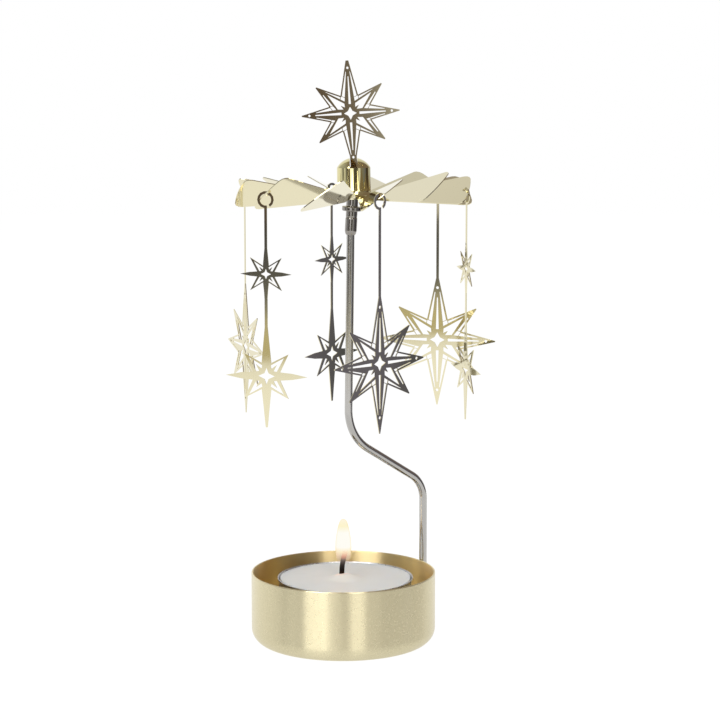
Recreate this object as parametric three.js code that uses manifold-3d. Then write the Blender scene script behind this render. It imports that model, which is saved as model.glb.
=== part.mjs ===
// Candle carousel: a tealight stands in a drawn cup, a bent wire rises from the cup's side, and a
// bladed rotor turns on the wire's pointed pin with six hanging ornaments and a star on its cap.
// Millimetres, +Z up. The origin is the centre of the cup's underside, +X is to the right and +Y
// points away from someone who faces the open front; the wire's foot is at the back right.

import * as THREE from "three";
import { mergeVertices } from "three/addons/utils/BufferGeometryUtils.js";
import Module from "manifold-3d";

const wasm = await Module();
wasm.setup();

const degree = Math.PI / 180;
const quarterTurn = 90 * degree;
const fullTurn = 360 * degree;

// Tealight
const tealightRadius = 19.25;
const tealightHeight = 18;
const tealightTaper = 0.5;
const tealightLip = 0.35;
const foilWall = 0.2;
const waxGap = 0.1;
const waxDrop = 0.45;
const waxMoundHeight = 1.3;
const waxMoundRadius = 6.5;
const tealightShiftShare = 0.09;

// Wick and the small tin foot that holds it up in the wax
const wickRadius = 0.75;
const wickGap = 0.15;
const wickRise = 6.4;
const wickLean = 1.05;
const wickBackset = 1;
const wickSideset = 1;
const wickFootRadius = 5.5;
const wickFootThickness = 0.3;
const wickCollarRadius = 1.4;
const wickCollarHeight = 3;

// Cup
const fingerGap = 6.35;
const cupWall = 0.5;
const cupCornerRadius = 4.3;
const rimRise = 1.75;
const rimRadius = 0.25;
const standGap = 0.05;

// Wire, and the clip that holds its foot against the cup
const wireRadius = 1.12;
const wireFootAngle = 33.15 * degree;
const wireWallGap = 0.25;
const lowerCornerHeight = 42.9;
const upperCornerHeight = 59;
const lowerBendRadius = 8.7;
const upperBendRadius = 13.4;
const postHeight = 116;
const postOffset = 2.1;
const postLean = 0.66 * degree;
const clipSheet = 0.6;
const clipGap = 0.12;
const clipFlange = 3.4;
const clipLowMargin = 2.7;
const clipRimMargin = 3.8;
const wireTail = 1;

// Crimped sleeve, flanged pin holder and pin on the wire's upper end
const headLean = 3.05 * degree;
const sleeveLength = 6.6;
const sleeveRadius = 1.66;
const sleeveNeckRadius = 1.6;
const sleeveNeckLength = 1.7;
const sleeveChamfer = 0.35;
const sleeveChamferLength = 1;
const sleeveClearance = 0.1;
const wireInsertion = 3.6;
const holderInsertion = 2.6;
const holderFlangeRadius = 2.75;
const holderFlangeThickness = 1.3;
const holderRadius = 1.66;
const holderLength = 4.4;
const pinRadius = 0.5;
const pinClearance = 0.05;
const pinReach = 4.5;
const pinPointLength = 1.6;
const pinBoreDepth = 5.6;

// Pivot seat pressed into the hub cap
const pivotGap = 0.25;
const seatDimpleDepth = 0.9;
const seatThickness = 2.2;
const seatFit = 0.05;

// Hub cap
const hubRadius = 4.66;
const hubWall = 0.3;
const hubHeight = 10.9;
const domeHeight = 2.7;
const hubFlareRadius = 6.2;
const hubFlareHeight = 1.9;
const hubFootGap = 0.05;

// How the balanced rotor settles on its point: right side up, back down
const rotorTiltSide = 0.77 * degree;
const rotorTiltBack = 0.77 * degree;

// Rotor sheet and its blades
const bladeSheet = 0.25;
const bladeTipRadius = 33.1;
const bladeCornerRadius = 1.9;
const bladeHalfAngle = 13 * degree;
const bladeSkew = 7.8 * degree;
const bladeApexOffset = 1.63;
const bladeAzimuth = 18.3 * degree;
const bladeDrop = 1.31;
const bladeRootLength = 8.6;
const neckStart = 6.3;
const neckWidth = 2.5;
const neckLap = 0.5;
const discRadius = 6.6;
const discBoreRadius = 3.9;
const hookHoleRadius = 0.75;
const hookStrip = 0.4;
const hookHoleAngle = -5.3 * degree;

// Each blade's pitch and rise in degrees: they are bent by hand and differ a little
const bladeBends = [
  [34.3, 9.6], [31, 12.2], [28, 8.8], [30.6, 7.1], [30.4, 8.7], [25.7, 7.6],
  [25.4, 7.6], [29.1, 7.7], [28.2, 8.8], [33.4, 8.9], [36.9, 10.4], [34.3, 9.5],
];

// Hook rings of the ornaments
const ornamentSheet = 0.25;
const ringRadius = 2.3;
const ringStroke = 0.7;
const ringMouthAngle = -57 * degree;
const ornamentTurn = 32.9 * degree;
const ornamentTwists = [-1.5, 1.8, 0, 0, 3, 0];
const ringAlong = 1.6;
const ringBelow = 0.9;
const strapWidth = 0.74;

// Single-star ornament
const starReach = 19.7;
const starDrop = 43.3;
const outlineStroke = 0.46;
const starTipWidth = 0.3;
const threadWidth = 0.17;

// Double-star ornament
const upperStarReach = 7.2;
const upperStarDrop = 20.1;
const lowerStarReach = 11.45;
const lowerStarDrop = 47.9;
const lowerPointLength = 14.1;
const lowerPointWidth = 0.56;
const linkWidth = 0.82;

// Star on the hub cap
const topStarScale = 0.825;
const topStarLean = 3.2 * degree;
const topStarTurn = -13.4 * degree;
const topStarRaise = 0.15;
const tabWidth = 1.9;
const tabSeatGap = 0.15;
const slotGap = 0.1;
const topPointHalfWidth = 0.38;

// Facets and the overrun of a cut
const roundSides = 48;
const smallRoundSides = 20;
const wireSides = 10;
const wireSteps = 80;
const holeSides = 10;
const arcSteps = 6;
const overrun = 1;

// The single star, from its centre: across, then up, as shares of its longest point's reach
const starShares = {
  highValley: [0.153, 0.305],
  lowValley: [0.362, 0.131],
  sideTip: [0.895, 0],
  diagonalTip: [0.598, 0.488],
  uprightBar: [[0.0863, 0.218], [0.0295, 0.711]],
  sideBar: [[0.215, 0.0756], [0.5565, 0.0441]],
  lowerSideBar: [[0.324, 0.098], [0.5587, 0.046]],
  highStrip: [[0.0995, 0.2116], [0.3944, 0.3721]],
  lowStrip: [[0.254, 0.0838], [0.4223, 0.2996]],
  kite: [
    [0.094, 0.1677], [0.3859, 0.3354], [0.2157, 0.0761],
    [0.1163, 0.0711], [0.16, 0.1367], [0.0902, 0.1037],
  ],
  uprightSlit: [[0.008, 0.6244], [0.0213, 0.157]],
  sideSlit: [[0.6195, 0.008], [0.157, 0.0213]],
  centreLong: 0.112,
  centreInner: [0.0407, 0.0378],
  uprightWindowEnd: 0.706,
  sideWindowEnd: 0.6,
  solidTipLength: 0.205,
  highHole: 0.769,
  lowHole: 0.746,
  sideHole: 0.723,
  holeRadius: 0.0213,
};

// The stars of the double ornament, as shares of their side points' reach
const rayStarShares = {
  sideArm: [[0.345, 0.097], [0.63, 0.073], [1, 0]],
  diagonalHigh: [0.112, 0.314],
  diagonalLow: [0.338, 0.097],
  window: [[0.103, 0.255], [0.252, 0.108], [0.175, 0.12], [0.256, 0.276], [0.12, 0.177]],
  centreLong: 0.2,
  centreInner: [0.05, 0.07],
};
const upperStarDiagonalShares = { tip: [0.614, 0.62], window: [0.474, 0.486] };
const lowerStarDiagonalShares = { tip: [0.541, 0.533], window: [0.43, 0.443] };

// The double ornament's spikes, half width then height, as shares of their own star's reach
const upperSpikeShares = {
  above: [[0.111, 0.35]],
  aboveEnd: 0.97,
  below: [[0.111, 0.33], [0.076, 0.64]],
  belowEnd: 0.92,
};
const lowerSpikeShares = {
  above: [[0.118, 0.32], [0.087, 0.63]],
  aboveEnd: 1.17,
  below: [[0.118, 0.31], [0.086, 0.61]],
};

// Materials
function metal(colour, roughness) {
  return new THREE.MeshStandardMaterial({ color: colour, roughness: roughness, metalness: 1 });
}

function matt(colour, roughness) {
  return new THREE.MeshStandardMaterial({ color: colour, roughness: roughness, metalness: 0 });
}

const materials = {
  gildedCup: () => metal(0xd9cc96, 0.16),
  gildedSheet: () => metal(0xddd0a0, 0.14),
  gildedCap: () => metal(0xd8c070, 0.08),
  brightSteel: () => metal(0xa9a7a2, 0.25),
  platedSteel: () => metal(0xb4afa8, 0.22),
  hardSteel: () => metal(0x8f9092, 0.18),
  turnedBrass: () => metal(0xb99a52, 0.3),
  foil: () => metal(0xc9c9cb, 0.3),
  paraffin: () => matt(0xe4e3dd, 0.35),
  braidedCotton: () => matt(0x2a2320, 0.9),
  tinPlate: () => metal(0xb7b9bb, 0.35),
};

// Solids that can be joined and cut
function solidOf(geometry) {
  const bare = geometry.clone();
  bare.deleteAttribute("normal");
  bare.deleteAttribute("uv");
  const merged = mergeVertices(bare);
  return new wasm.Manifold(new wasm.Mesh({
    numProp: 3,
    vertProperties: new Float32Array(merged.attributes.position.array),
    triVerts: new Uint32Array(merged.index.array),
  }));
}

function geometryOf(solid) {
  const mesh = solid.getMesh();
  const geometry = new THREE.BufferGeometry();
  geometry.setAttribute("position", new THREE.BufferAttribute(new Float32Array(mesh.vertProperties), 3));
  geometry.setIndex(new THREE.BufferAttribute(new Uint32Array(mesh.triVerts), 1));
  geometry.computeVertexNormals();
  return geometry;
}

function joined(geometries) {
  return geometryOf(geometries.map(solidOf).reduce((whole, part) => whole.add(part)));
}

function cut(geometry, tools) {
  return geometryOf(tools.map(solidOf).reduce((rest, tool) => rest.subtract(tool), solidOf(geometry)));
}

// A body of revolution about Z from a profile of [radius, height] points
function turned(profile, sides = roundSides) {
  const points = profile.map(([radius, height]) => new THREE.Vector2(radius, height));
  return new THREE.LatheGeometry(points, sides).rotateX(quarterTurn);
}

function rod(radius, low, high, sides = smallRoundSides) {
  return turned([[0, low], [radius, low], [radius, high], [0, high]], sides);
}

// Points of a circular arc, as [x, y]
function arcPoints(centre, radius, start, end, steps = arcSteps) {
  const points = [];
  for (let step = 0; step <= steps; step += 1) {
    const angle = start + ((end - start) * step) / steps;
    points.push([centre[0] + radius * Math.cos(angle), centre[1] + radius * Math.sin(angle)]);
  }
  return points;
}

function shapeOf(points) {
  return new THREE.Shape(points.map(([x, y]) => new THREE.Vector2(x, y)));
}

// A flat sheet, centred on its own mid-plane
function sheet(shape, thickness) {
  const geometry = new THREE.ExtrudeGeometry(shape, { depth: thickness, bevelEnabled: false, steps: 1 });
  return geometry.translate(0, 0, -thickness / 2);
}

function piercedSheet(shape, windows, thickness) {
  const punches = windows.map((points) => sheet(shapeOf(points), thickness + 2 * overrun));
  return cut(sheet(shape, thickness), punches);
}

function named(name, geometry, material) {
  const mesh = new THREE.Mesh(geometry, material);
  mesh.name = name;
  return mesh;
}

// Straight lines in a plane, moved aside to their left by an inset, and where they meet
function lineOf(from, to, inset = 0) {
  const across = to[0] - from[0];
  const up = to[1] - from[1];
  const length = Math.hypot(across, up);
  const aside = [(-up / length) * inset, (across / length) * inset];
  return { point: [from[0] + aside[0], from[1] + aside[1]], direction: [across, up] };
}

function meet(first, second) {
  const cross = first.direction[0] * second.direction[1] - first.direction[1] * second.direction[0];
  const apart = [second.point[0] - first.point[0], second.point[1] - first.point[1]];
  const share = (apart[0] * second.direction[1] - apart[1] * second.direction[0]) / cross;
  return [first.point[0] + first.direction[0] * share, first.point[1] + first.direction[1] * share];
}

function corners(lines) {
  return lines.map((line, index) => meet(line, lines[(index + 1) % lines.length]));
}

const mirrors = [[1, 1], [-1, 1], [-1, -1], [1, -1]];

function mirrored(points, [across, up], drop) {
  return points.map(([x, y]) => [x * across, y * up - drop]);
}

// Derived places, those of the turning pieces from the pin's point upward
const cupInnerRadius = tealightRadius + fingerGap;
const cupRadius = cupInnerRadius + cupWall;
const tealightBase = cupWall + standGap;
const cupHeight = tealightBase + tealightHeight + rimRise;
const tealightX = fingerGap * tealightShiftShare;
const clipLow = cupCornerRadius + clipLowMargin;
const clipHigh = cupHeight - clipRimMargin;
const wireFootRadius = cupRadius + wireWallGap + wireRadius;
const pinLength = sleeveLength + holderFlangeThickness + holderLength + pinReach;
const pinTip = new THREE.Vector3(Math.sin(headLean), 0, Math.cos(headLean))
  .multiplyScalar(pinLength)
  .add(new THREE.Vector3(postOffset, 0, postHeight));
const seatLow = pivotGap - seatDimpleDepth;
const domeTop = seatLow + seatThickness + seatFit + hubWall + domeHeight;
const discTop = domeTop - hubHeight - hubFootGap;
const discMiddle = discTop - bladeSheet / 2;

// The turning pieces share one group, hung from the pin's point
const turning = new THREE.Group();
turning.position.copy(pinTip);
turning.rotation.set(-rotorTiltBack, -rotorTiltSide, 0);
turning.updateMatrix();

// Cup: a drawn shell with a flat base, rounded lower corner and rounded rim
function cupProfile() {
  const outerCorner = [cupRadius - cupCornerRadius, cupCornerRadius];
  const innerRadius = cupCornerRadius - cupWall;
  const rimCentre = [cupRadius - cupWall / 2, cupHeight - rimRadius];
  return [
    [0, 0],
    ...arcPoints(outerCorner, cupCornerRadius, -quarterTurn, 0),
    ...arcPoints(rimCentre, rimRadius, 0, 2 * quarterTurn, arcSteps / 2),
    ...arcPoints(outerCorner, innerRadius, 0, -quarterTurn),
    [0, cupWall],
  ];
}

const cup = named("cup", turned(cupProfile()), materials.gildedCup());

// Clip: a strap bent round the wire's foot, its two flanges spot-welded to the cup's wall
function clipGeometry() {
  const height = clipHigh - clipLow;
  const backRadius = cupRadius + wireWallGap;
  const channel = wireRadius + clipGap;
  const strap = channel + clipSheet;
  const halfAngle = (strap + clipFlange) / cupRadius;
  const flanges = shapeOf([
    ...arcPoints([0, 0], backRadius + clipSheet, -halfAngle, halfAngle),
    ...arcPoints([0, 0], backRadius, halfAngle, -halfAngle),
  ]);
  const boss = shapeOf([
    [backRadius, -strap],
    ...arcPoints([wireFootRadius, 0], strap, -quarterTurn, quarterTurn, 2 * arcSteps),
    [backRadius, strap],
  ]);
  const groove = shapeOf([
    [backRadius - overrun, -channel],
    ...arcPoints([wireFootRadius, 0], channel, -quarterTurn, quarterTurn, 2 * arcSteps),
    [backRadius - overrun, channel],
  ]);
  const body = joined([sheet(flanges, height), sheet(boss, height)]);
  const wall = rod(backRadius, -height, height, 4 * roundSides);
  return cut(body, [sheet(groove, height + 2 * overrun), wall]);
}

const wireClip = named("wire_clip", clipGeometry(), materials.gildedCup());
wireClip.position.set(0, 0, (clipLow + clipHigh) / 2);
wireClip.rotation.z = wireFootAngle;

// Wire: up from the clip, across above the flame's side, and up again as the rotor's post
function bentPath(points, radii) {
  const path = new THREE.CurvePath();
  let start = points[0];
  radii.forEach((radius, index) => {
    const corner = points[index + 1];
    const before = points[index].clone().sub(corner).normalize();
    const after = points[index + 2].clone().sub(corner).normalize();
    const halfAngle = before.angleTo(after) / 2;
    const reach = radius / Math.tan(halfAngle);
    const handle = (4 / 3) * Math.tan((quarterTurn - halfAngle) / 2) * radius;
    const bendStart = corner.clone().addScaledVector(before, reach);
    const bendEnd = corner.clone().addScaledVector(after, reach);
    path.add(new THREE.LineCurve3(start, bendStart));
    path.add(new THREE.CubicBezierCurve3(
      bendStart,
      bendStart.clone().addScaledVector(before, -handle),
      bendEnd.clone().addScaledVector(after, -handle),
      bendEnd,
    ));
    start = bendEnd;
  });
  path.add(new THREE.LineCurve3(start, points[points.length - 1]));
  return path;
}

function wirePoints() {
  const footX = wireFootRadius * Math.cos(wireFootAngle);
  const footY = wireFootRadius * Math.sin(wireFootAngle);
  const postX = postOffset - Math.tan(postLean) * (postHeight - upperCornerHeight);
  return [
    new THREE.Vector3(footX, footY, clipLow - wireTail),
    new THREE.Vector3(footX, footY, lowerCornerHeight),
    new THREE.Vector3(postX, 0, upperCornerHeight),
    new THREE.Vector3(postOffset, 0, postHeight),
    new THREE.Vector3(Math.sin(headLean), 0, Math.cos(headLean))
      .multiplyScalar(wireInsertion)
      .add(new THREE.Vector3(postOffset, 0, postHeight)),
  ];
}

const wireSection = shapeOf(arcPoints([0, 0], wireRadius, 0, fullTurn, wireSides).slice(1));
const supportWire = named("support_wire", new THREE.ExtrudeGeometry(wireSection, {
  steps: wireSteps,
  bevelEnabled: false,
  extrudePath: bentPath(wirePoints(), [lowerBendRadius, upperBendRadius, upperBendRadius]),
}), materials.brightSteel());

// Sleeve, pin holder and pin, in the frame of the wire's leaning end
const sleeveBore = wireRadius + sleeveClearance;
const holderStart = sleeveLength - holderInsertion;
const flangeTop = sleeveLength + holderFlangeThickness;
const holderTop = flangeTop + holderLength;

const sleeve = named("sleeve", turned([
  [sleeveBore, 0],
  [sleeveRadius - sleeveChamfer, 0],
  [sleeveRadius, sleeveChamferLength],
  [sleeveRadius, sleeveLength - sleeveNeckLength],
  [sleeveNeckRadius, sleeveLength - sleeveNeckLength + sleeveChamfer],
  [sleeveNeckRadius, sleeveLength],
  [sleeveBore, sleeveLength],
  [sleeveBore, 0],
], smallRoundSides), materials.platedSteel());

const pinHolder = named("pin_holder", turned([
  [0, holderStart],
  [sleeveBore - sleeveClearance, holderStart],
  [sleeveBore - sleeveClearance, sleeveLength + pinClearance],
  [holderFlangeRadius, sleeveLength + pinClearance],
  [holderFlangeRadius, flangeTop],
  [holderRadius, flangeTop],
  [holderRadius, holderTop],
  [pinRadius + pinClearance, holderTop],
  [pinRadius + pinClearance, holderTop - pinBoreDepth],
  [0, holderTop - pinBoreDepth],
], smallRoundSides), materials.platedSteel());

const pivotPin = named("pivot_pin", turned([
  [0, holderTop - pinBoreDepth + pinClearance],
  [pinRadius, holderTop - pinBoreDepth + pinClearance],
  [pinRadius, pinLength - pinPointLength],
  [0, pinLength],
], smallRoundSides), materials.hardSteel());

const head = new THREE.Group();
head.position.set(postOffset, 0, postHeight);
head.rotation.y = headLean;
head.add(sleeve, pinHolder, pivotPin);

// Pivot seat: a brass plug with a dimple that rides on the pin's point
const seatRadius = hubRadius - hubWall - seatFit;
const pivotSeat = named("pivot_seat", turned([
  [0, seatDimpleDepth],
  [seatDimpleDepth, 0],
  [seatRadius, 0],
  [seatRadius, seatThickness],
  [0, seatThickness],
]), materials.turnedBrass());
pivotSeat.position.z = seatLow;

// Hub cap: a spun dome whose foot flares onto the rotor's disc, slotted on top for the star
function domePoints(radius, height, top) {
  const ball = (radius * radius + height * height) / (2 * height);
  const start = Math.acos(radius / ball);
  return arcPoints([0, top - ball], ball, start, quarterTurn);
}

function flarePoints(radius, inset) {
  const width = hubFlareRadius - hubRadius;
  return arcPoints([0, 0], 1, 0, quarterTurn, arcSteps / 2).map(([along, rise]) => [
    radius + width * (1 - rise),
    inset + (hubFlareHeight - inset) * (1 - along),
  ]);
}

function hubCapGeometry() {
  const innerRadius = hubRadius - hubWall;
  const shell = turned([
    ...flarePoints(hubRadius, hubWall),
    ...domePoints(hubRadius, domeHeight, hubHeight),
    ...domePoints(innerRadius, domeHeight, hubHeight - hubWall).reverse(),
    [innerRadius, hubFlareHeight],
    ...flarePoints(innerRadius, 0).reverse(),
    [hubFlareRadius, 0],
    [hubFlareRadius, hubWall],
  ]);
  const slotWidth = Math.hypot(tabWidth, ornamentSheet) + 2 * slotGap;
  const slot = new THREE.BoxGeometry(slotWidth, 2 * (hubRadius + overrun), 2 * domeHeight);
  return cut(shell, [slot.translate(0, 0, hubHeight)]);
}

const hubCap = named("hub_cap", hubCapGeometry(), materials.gildedCap());
hubCap.position.z = domeTop - hubHeight;

// Rotor: one pierced sheet, its twelve blades each raised and pitched about its narrow neck
function bladeFrame(index) {
  const [pitch, rise] = bladeBends[index];
  return new THREE.Matrix4()
    .makeTranslation(0, 0, -bladeDrop)
    .multiply(new THREE.Matrix4().makeRotationY(-rise * degree))
    .multiply(new THREE.Matrix4().makeRotationX(pitch * degree));
}

const hookHoleReach = bladeTipRadius - hookStrip - hookHoleRadius;
const hookHole = [hookHoleReach * Math.cos(hookHoleAngle), hookHoleReach * Math.sin(hookHoleAngle)];

function filletBetween(sideAngle, side) {
  const aside = bladeApexOffset * Math.cos(sideAngle) - side * bladeCornerRadius;
  const centreReach = bladeTipRadius - bladeCornerRadius;
  const along = Math.sqrt(centreReach * centreReach - aside * aside);
  const centre = [
    along * Math.cos(sideAngle) - aside * Math.sin(sideAngle),
    along * Math.sin(sideAngle) + aside * Math.cos(sideAngle),
  ];
  return { centre, tipAngle: Math.atan2(centre[1], centre[0]) };
}

function bladeOutline() {
  const lowAngle = -bladeSkew - bladeHalfAngle;
  const highAngle = -bladeSkew + bladeHalfAngle;
  const low = filletBetween(lowAngle, -1);
  const high = filletBetween(highAngle, 1);
  const rootReach = bladeRootLength - neckLap;
  const root = (angle) => [rootReach * Math.cos(angle), bladeApexOffset + rootReach * Math.sin(angle)];
  return [
    root(lowAngle),
    ...arcPoints(low.centre, bladeCornerRadius, lowAngle - quarterTurn, low.tipAngle, arcSteps / 2),
    ...arcPoints([0, 0], bladeTipRadius, low.tipAngle, high.tipAngle),
    ...arcPoints(high.centre, bladeCornerRadius, high.tipAngle, highAngle + quarterTurn, arcSteps / 2),
    root(highAngle),
  ];
}

function bladeGeometry(index) {
  const hooked = index % 2 === 0;
  const holes = hooked ? [arcPoints(hookHole, hookHoleRadius, 0, fullTurn, holeSides).slice(1)] : [];
  return piercedSheet(shapeOf(bladeOutline()), holes, bladeSheet).applyMatrix4(bladeFrame(index));
}

// The twisting neck between the flat disc and a blade's root
function neckGeometry(index) {
  const frame = bladeFrame(index);
  const rootPlace = new THREE.Vector3(
    bladeRootLength * Math.cos(bladeSkew),
    bladeApexOffset - bladeRootLength * Math.sin(bladeSkew),
    0,
  ).applyMatrix4(frame);
  const startPlace = new THREE.Vector3(neckStart, rootPlace.y, 0);
  const rootAcross = new THREE.Vector3(Math.sin(bladeSkew), Math.cos(bladeSkew), 0).transformDirection(frame);
  const rootNormal = new THREE.Vector3(0, 0, 1).transformDirection(frame);
  const rootWidth = 2 * bladeRootLength * Math.tan(bladeHalfAngle);
  const steps = arcSteps / 2;
  const positions = [];
  for (let step = 0; step <= steps; step += 1) {
    const share = step / steps;
    const middle = startPlace.clone().lerp(rootPlace, share);
    const across = new THREE.Vector3(0, 1, 0).lerp(rootAcross, share).normalize();
    const normal = new THREE.Vector3(0, 0, 1).lerp(rootNormal, share).normalize();
    const half = (neckWidth + (rootWidth - neckWidth) * share) / 2;
    [[-1, -1], [1, -1], [1, 1], [-1, 1]].forEach(([side, face]) => {
      const place = middle.clone()
        .addScaledVector(across, side * half)
        .addScaledVector(normal, (face * bladeSheet) / 2);
      positions.push(place.x, place.y, place.z);
    });
  }
  const faces = [0, 2, 1, 0, 3, 2];
  for (let step = 0; step < steps; step += 1) {
    const first = 4 * step;
    for (let corner = 0; corner < 4; corner += 1) {
      const next = (corner + 1) % 4;
      faces.push(first + corner, first + next, first + next + 4);
      faces.push(first + corner, first + next + 4, first + corner + 4);
    }
  }
  const last = 4 * steps;
  faces.push(last, last + 1, last + 2, last, last + 2, last + 3);
  const geometry = new THREE.BufferGeometry();
  geometry.setAttribute("position", new THREE.BufferAttribute(new Float32Array(positions), 3));
  geometry.setIndex(faces);
  return geometry;
}

function bladeTurn(index) {
  return bladeAzimuth + (fullTurn * index) / bladeBends.length - quarterTurn;
}

function rotorGeometry() {
  const disc = turned([
    [discBoreRadius, -bladeSheet / 2],
    [discRadius, -bladeSheet / 2],
    [discRadius, bladeSheet / 2],
    [discBoreRadius, bladeSheet / 2],
    [discBoreRadius, -bladeSheet / 2],
  ]);
  const parts = [disc];
  bladeBends.forEach((bend, index) => {
    const turn = bladeTurn(index);
    parts.push(neckGeometry(index).rotateZ(turn), bladeGeometry(index).rotateZ(turn));
  });
  return joined(parts);
}

const rotor = named("rotor", rotorGeometry(), materials.gildedSheet());
rotor.position.z = discMiddle;

// The single star's windows, by lines between its outline, its inner bars and its fine threads
function starWindows(reach, drop) {
  const at = ([across, up]) => [across * reach, up * reach];
  const span = ([first, second]) => [at(first), at(second)];
  const grow = reach / starReach;
  const stroke = outlineStroke * grow;
  const thread = threadWidth * grow;
  const highValley = at(starShares.highValley);
  const lowValley = at(starShares.lowValley);
  const sideTip = at(starShares.sideTip);
  const diagonalTip = at(starShares.diagonalTip);
  const topTip = [0, reach];
  const upright = (inset) => lineOf(topTip, highValley, -inset);
  const highRidge = (inset) => lineOf(highValley, diagonalTip, -inset);
  const lowRidge = (inset) => lineOf(diagonalTip, lowValley, -inset);
  const side = (inset) => lineOf(lowValley, sideTip, -inset);
  const uprightBar = lineOf(...span(starShares.uprightBar));
  const upperSideBar = lineOf(...span(starShares.sideBar));
  const lowerSideBar = lineOf(...span(starShares.lowerSideBar));
  const highStrip = lineOf(...span(starShares.highStrip));
  const lowStrip = lineOf(...span(starShares.lowStrip));
  const uprightEnd = lineOf(at([0, starShares.uprightWindowEnd]), at([1, starShares.uprightWindowEnd]));
  const sideEnd = lineOf(at([starShares.sideWindowEnd, 0]), at([starShares.sideWindowEnd, 1]));
  const diagonalLength = Math.hypot(...diagonalTip);
  const solidShare = 1 - (starShares.solidTipLength * reach) / diagonalLength;
  const solidStart = [diagonalTip[0] * solidShare, diagonalTip[1] * solidShare];
  const solidEdge = lineOf(solidStart, [solidStart[0] - diagonalTip[1], solidStart[1] + diagonalTip[0]]);
  const quadrant = (sideBar) => [
    corners([upright(stroke), uprightEnd, uprightBar, highRidge(0)]),
    corners([highRidge(stroke), solidEdge, highStrip, upright(0)]),
    corners([upright(thread), highRidge(thread), uprightBar, highStrip]),
    corners([side(stroke), sideEnd, sideBar, lowRidge(0)]),
    corners([lowRidge(stroke), solidEdge, lowStrip, side(0)]),
    corners([side(thread), lowRidge(thread), sideBar, lowStrip]),
    starShares.kite.map(at),
  ];
  const windows = mirrors.flatMap((mirror) => {
    const upper = mirror[1] > 0;
    return quadrant(upper ? upperSideBar : lowerSideBar).map((points) => mirrored(points, mirror, drop));
  });
  const [slitTip, slitRoot] = span(starShares.uprightSlit);
  const [sideSlitTip, sideSlitRoot] = span(starShares.sideSlit);
  [1, -1].forEach((way) => {
    const both = (tip, root) => [tip, root, [-root[0], root[1]], [-tip[0], tip[1]]];
    const across = ([x, y]) => [y, x];
    windows.push(mirrored(both(slitTip, slitRoot), [1, way], drop));
    windows.push(mirrored(both(across(sideSlitTip), across(sideSlitRoot)).map(across), [way, 1], drop));
  });
  const inner = at(starShares.centreInner);
  const long = reach * starShares.centreLong;
  windows.push(mirrored(centrePoints(inner, long), mirrors[0], drop));
  return windows;
}

// The four-pointed opening in the middle of every star
function centrePoints(inner, long) {
  return [
    [0, long], inner, [long, 0], [inner[0], -inner[1]],
    [0, -long], [-inner[0], -inner[1]], [-long, 0], [-inner[0], inner[1]],
  ];
}

function starHoles(reach, drop) {
  const radius = starShares.holeRadius * reach;
  const places = [
    [0, starShares.highHole],
    [0, -starShares.lowHole],
    [starShares.sideHole, 0],
    [-starShares.sideHole, 0],
  ];
  return places.map(([across, up]) => {
    const centre = [across * reach, up * reach - drop];
    return arcPoints(centre, radius, 0, fullTurn, holeSides).slice(1);
  });
}

// A sharp point between two edges, cut square where it is as wide as a star's tips
function bluntTip(before, tip, after) {
  const end = new THREE.Vector2(...tip);
  const edges = [before, after].map((point) => new THREE.Vector2(...point).sub(end).normalize());
  const reach = starTipWidth / edges[0].distanceTo(edges[1]);
  return edges.map((edge) => edge.multiplyScalar(reach).add(end).toArray());
}

// The right-hand side of the single star between its upper and lower points
function starSide(reach) {
  const at = ([across, up]) => [across * reach, up * reach];
  const highValley = at(starShares.highValley);
  const lowValley = at(starShares.lowValley);
  const below = ([x, y]) => [x, -y];
  const upper = [highValley, ...bluntTip(highValley, at(starShares.diagonalTip), lowValley), lowValley];
  const side = bluntTip(lowValley, at(starShares.sideTip), below(lowValley));
  return [...upper, ...side, ...upper.slice().reverse().map(below)];
}

// Height above the star's centre where its upright point has a given half width
function uprightHeight(reach, halfWidth) {
  const valley = [starShares.highValley[0] * reach, starShares.highValley[1] * reach];
  return reach - (halfWidth / valley[0]) * (reach - valley[1]);
}

// An ornament: an open hook ring, a strap, and whatever its right side draws below
function ornament(rightSide, windows) {
  const innerRadius = ringRadius - ringStroke;
  const half = strapWidth / 2;
  const leftJoin = Math.PI + Math.acos(half / ringRadius);
  const rightJoin = fullTurn - Math.acos(half / innerRadius);
  const shape = new THREE.Shape();
  shape.setFromPoints([
    ...arcPoints([0, 0], ringRadius, ringMouthAngle, leftJoin, 2 * arcSteps),
    ...rightSide.map(([x, y]) => [-x, y]),
    ...rightSide.slice().reverse(),
    ...arcPoints([0, 0], innerRadius, rightJoin, ringMouthAngle, 2 * arcSteps),
  ].map(([x, y]) => new THREE.Vector2(x, y)));
  return piercedSheet(shape, windows, ornamentSheet).rotateX(quarterTurn);
}

function singleStarGeometry() {
  const half = strapWidth / 2;
  const tip = starTipWidth / 2;
  const side = starSide(starReach).map(([x, y]) => [x, y - starDrop]);
  const rightSide = [
    [half, uprightHeight(starReach, half) - starDrop],
    ...side,
    [tip, -uprightHeight(starReach, tip) - starDrop],
  ];
  return ornament(rightSide, [...starWindows(starReach, starDrop), ...starHoles(starReach, starDrop)]);
}

// One star of the double ornament: its right side, and its windows
function raySide(reach, diagonal) {
  const at = ([across, up]) => [across * reach, up * reach];
  const upper = [
    at(rayStarShares.diagonalHigh),
    at(diagonal.tip),
    at(rayStarShares.diagonalLow),
    ...rayStarShares.sideArm.map(at),
  ];
  const lower = upper.slice(0, -1).reverse().map(([x, y]) => [x, -y]);
  return [...upper, ...lower];
}

function rayWindows(reach, drop, diagonal) {
  const at = ([across, up]) => [across * reach, up * reach];
  const opening = [rayStarShares.window[0], diagonal.window, ...rayStarShares.window.slice(1)].map(at);
  const windows = mirrors.map((mirror) => mirrored(opening, mirror, drop));
  const centre = centrePoints(at(rayStarShares.centreInner), reach * rayStarShares.centreLong);
  return [...windows, mirrored(centre, mirrors[0], drop)];
}

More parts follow.
